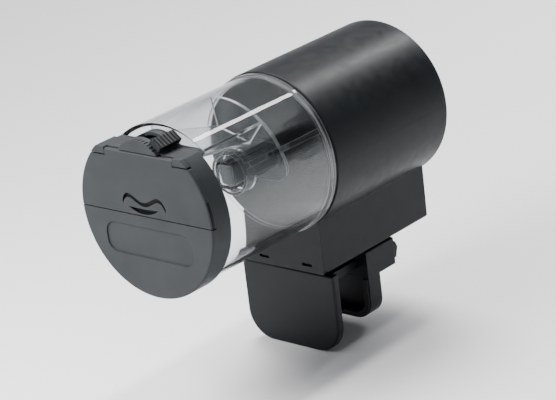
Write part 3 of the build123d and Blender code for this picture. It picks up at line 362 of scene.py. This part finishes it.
def wire(build, path, radius, around=12):
    """Round wire along a list of points."""
    rings = []
    for i, point in enumerate(path):
        ahead = path[min(i + 1, len(path) - 1)] - path[max(i - 1, 0)]
        side = ahead.cross(Vector((0, 1, 0))).normalized()
        up = side.cross(ahead).normalized()
        rings.append([
            build.verts.new(
                point + radius * (math.cos(a) * side + math.sin(a) * up))
            for a in [2 * math.pi * k / around for k in range(around)]])
    close_rings(build, rings, around)


CELL_LENGTH = 50.5 * MM
SLEEVE, STEEL = 0, 1                     # material indices on the cells
NUB_PROFILE = [                          # mm from the nub's tip, radius in mm
    (0.0, 2.2, STEEL), (0.15, 2.6, STEEL), (1.0, 2.75, STEEL), (1.15, 5.0, STEEL),
    (0.95, 6.3, SLEEVE), (1.05, 6.9, SLEEVE), (1.5, 7.2, SLEEVE)]
BASE_PROFILE = [                         # mm from the flat base, radius in mm
    (0.5, 7.2, SLEEVE), (0.1, 6.9, SLEEVE), (0.0, 6.4, SLEEVE),
    (0.1, 6.1, STEEL), (0.1, 3.0, STEEL), (0.0, 2.6, STEEL)]


def make_cells():
    """Two AA cells head to tail: shrunk sleeve over a steel can, with a nub and a flat base."""
    low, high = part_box("battery_cells")
    radius = (high.z - low.z) / 2
    build = bmesh.new()
    for side, nub_y, away in ((-1, low.y, 1), (1, high.y, -1)):
        axis = Vector((side * (high.x - radius), 0, low.z + radius))
        base_y = nub_y + away * CELL_LENGTH
        profile = [(nub_y + away * y * MM, r * MM, m) for y, r, m in NUB_PROFILE]
        profile += [(base_y - away * y * MM, r * MM, m) for y, r, m in BASE_PROFILE]
        lathe_y(build, axis, profile)
    finishes = [MATERIALS["cell_wrap"], MATERIALS["steel"]]
    make_piece("aa_cells", build, "housing", "cell_wrap", finishes, "battery_cells")


SPRING_WIRE_R = 0.42 * MM
SPRING_BASE_R, SPRING_TIP_R = 4.4 * MM, 2.7 * MM
SPRING_TURNS, SPRING_STEPS = 4.5, 216
BASE_REST, TIP_REST = 0.8, 0.7           # turns that lie flat on the plate and on the cell


def make_spring(node, body, at_rear):
    """Conical contact spring of round wire between its plate and the cell."""
    low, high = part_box(node)
    middle = (low + high) / 2
    base, tip = (high.y, low.y) if at_rear else (low.y, high.y)
    away = 1 if tip > base else -1
    lift = abs(tip - base) - 2 * SPRING_WIRE_R
    path = []
    for i in range(SPRING_STEPS + 1):
        share = i / SPRING_STEPS
        climb = (share * SPRING_TURNS - BASE_REST) / (SPRING_TURNS - BASE_REST - TIP_REST)
        rise = min(max(climb, 0.0), 1.0)
        radius = SPRING_BASE_R + (SPRING_TIP_R - SPRING_BASE_R) * share
        angle = 2 * math.pi * SPRING_TURNS * share
        path.append(Vector((
            middle.x + radius * math.cos(angle),
            base + away * (SPRING_WIRE_R + rise * lift),
            middle.z + radius * math.sin(angle))))
    build = bmesh.new()
    wire(build, path, SPRING_WIRE_R)
    make_piece(node + "_coil", build, body, "spring_steel", [MATERIALS["spring_steel"]], node)


PANEL_DEPTH = 0.7 * MM                   # the control panel below the rear cover's face
PRINT_THICKNESS = 0.06 * MM


def pad_print(name, outlines, panel_y):
    """Thin printed shapes on the recessed control panel; outlines are lists of (x, z)."""
    build = bmesh.new()
    for outline in outlines:
        rings = [
            [build.verts.new((x, y, z)) for x, z in outline]
            for y in (panel_y, panel_y + PRINT_THICKNESS)]
        close_rings(build, rings, len(outline))
    piece = make_piece(name, build, "housing", "button_plastic", [MATERIALS["print_white"]])
    piece.data.polygons.foreach_set("use_smooth", [False] * len(piece.data.polygons))


def middle_of(node):
    low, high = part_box(node)
    return (low + high) / 2


def make_panel_marks():
    """Plain marks: one and two short bars over the switch's two places, three dots under the button."""
    panel_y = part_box("rear_cover")[1].y - PANEL_DEPTH
    knob = middle_of("interval_switch_knob")
    button = middle_of("feed_button")

    travel, pitch, half_width, height = 4.0 * MM, 1.1 * MM, 0.28 * MM, 1.5 * MM
    foot = knob.z + 3.6 * MM
    bars = []
    for place, count in ((0.0, 1), (travel, 2)):
        for i in range(count):
            x = knob.x + place + pitch * (i - (count - 1) / 2)
            left, right = x - half_width, x + half_width
            bars.append([(left, foot), (right, foot), (right, foot + height), (left, foot + height)])
    pad_print("switch_marks", bars, panel_y)

    dot_radius, corners = 0.5 * MM, 16
    angles = [2 * math.pi * k / corners for k in range(corners)]
    dots = []
    for dx, dz in ((-1.6 * MM, -7.6 * MM), (0.0, -8.3 * MM), (1.6 * MM, -7.6 * MM)):
        dots.append([
            (button.x + dx + dot_radius * math.cos(a), button.z + dz + dot_radius * math.sin(a))
            for a in angles])
    pad_print("button_marks", dots, panel_y)


make_cells()
make_spring("front_spring", "housing", False)
make_spring("door_spring", "door", True)
make_panel_marks()


# ---------------------------------------------------------------- stage, camera and light
def add_area(name, location, target, size, power):
    """Soft box aimed at the object, left out of what is seen through the clear drum."""
    light = bpy.data.lights.new(name, "AREA")
    light.shape = "RECTANGLE"
    light.size, light.size_y = size
    light.energy = power
    lamp = bpy.data.objects.new(name, light)
    lamp.visible_transmission = False
    bpy.context.scene.collection.objects.link(lamp)
    lamp.location = location
    lamp.rotation_euler = (Vector(target) - Vector(location)).to_track_quat("-Z", "Y").to_euler()


FLOOR_RADIUS = 20.0


def make_stage(floor_z):
    """Wide pale floor, open when seen from below so that the underside can be looked at."""
    mesh = bpy.data.meshes.new("floor")
    build = bmesh.new()
    bmesh.ops.create_circle(build, cap_ends=True, segments=96, radius=FLOOR_RADIUS)
    build.to_mesh(mesh)
    build.free()
    floor = bpy.data.objects.new("floor", mesh)
    bpy.context.scene.collection.objects.link(floor)
    floor.location.z = floor_z
    m = Maker("floor_paint")
    m.link(Base_Color=m.mix(m.noise(0.4, 2.0), srgb(236, 237, 238), srgb(240, 240, 241)))
    m.link(Roughness=m.spread(m.noise(0.05, 2.0), 0.55, 0.65))
    back = m.add("ShaderNodeNewGeometry").outputs["Backfacing"]
    clear = m.add("ShaderNodeBsdfTransparent").outputs["BSDF"]
    both = m.add("ShaderNodeMixShader", {0: back, 1: m.shader.outputs["BSDF"], 2: clear})
    m.tree.links.new(both.outputs[0], m.tree.nodes["Material Output"].inputs["Surface"])
    mesh.materials.append(m.material)


VIEW_AZIMUTH, VIEW_ELEVATION, VIEW_ROLL = 42.5, 20.5, -7.0
VIEW_DISTANCE = 0.9
VIEW_LENS = 148.0


def make_camera(target):
    """Long lens on the front right, above the object and slightly rolled."""
    a, e = math.radians(VIEW_AZIMUTH), math.radians(VIEW_ELEVATION)
    back = Vector((math.sin(a) * math.cos(e), -math.cos(a) * math.cos(e), math.sin(e)))
    data = bpy.data.cameras.new("camera")
    data.lens = VIEW_LENS
    data.clip_start, data.clip_end = 0.01, FLOOR_RADIUS
    camera = bpy.data.objects.new("camera", data)
    bpy.context.scene.collection.objects.link(camera)
    camera.location = target + back * VIEW_DISTANCE
    aim = (-back).to_track_quat("-Z", "Y").to_matrix()
    camera.rotation_euler = (aim @ Matrix.Rotation(math.radians(VIEW_ROLL), 3, "Z")).to_euler()
    bpy.context.scene.camera = camera


def make_world():
    """Dim studio air that turns pale near the horizon."""
    world = bpy.data.worlds.new("studio")
    world.use_nodes = True
    tree = world.node_tree
    air = tree.nodes["Background"]
    place = tree.nodes.new("ShaderNodeTexCoord")
    parts = tree.nodes.new("ShaderNodeSeparateXYZ")
    rise = tree.nodes.new("ShaderNodeMapRange")
    fade = {"From Min": 0.08, "From Max": 0.24, "To Min": 0.85, "To Max": 0.13}
    for socket, value in fade.items():
        rise.inputs[socket].default_value = value
    tree.links.new(place.outputs["Generated"], parts.inputs[0])
    tree.links.new(parts.outputs["Z"], rise.inputs["Value"])
    tree.links.new(rise.outputs["Result"], air.inputs["Strength"])
    air.inputs["Color"].default_value = (0.94, 0.96, 1.0, 1.0)
    bpy.context.scene.world = world


def make_lights(centre):
    """Broad wash from the rear left, a small key from the front left and a long strip behind."""
    sun = bpy.data.lights.new("wash", "SUN")
    sun.energy = 3.2
    sun.angle = math.radians(30)
    lamp = bpy.data.objects.new("wash", sun)
    lamp.visible_transmission = False
    bpy.context.scene.collection.objects.link(lamp)
    lamp.rotation_euler = Vector((0.5, -0.45, -1.0)).to_track_quat("-Z", "Y").to_euler()
    add_area("key", centre + Vector((-0.1, -0.25, 0.24)), centre, (0.2, 0.2), 2.8)
    add_area("strip", centre + Vector((0.0, 0.52, 0.62)), centre, (0.06, 0.9), 8.0)


centre = (CAD_LOW + CAD_HIGH) / 2
make_stage(CAD_LOW.z)
make_camera(centre + Vector((0, 0, 5 * MM)))
make_world()
make_lights(centre)
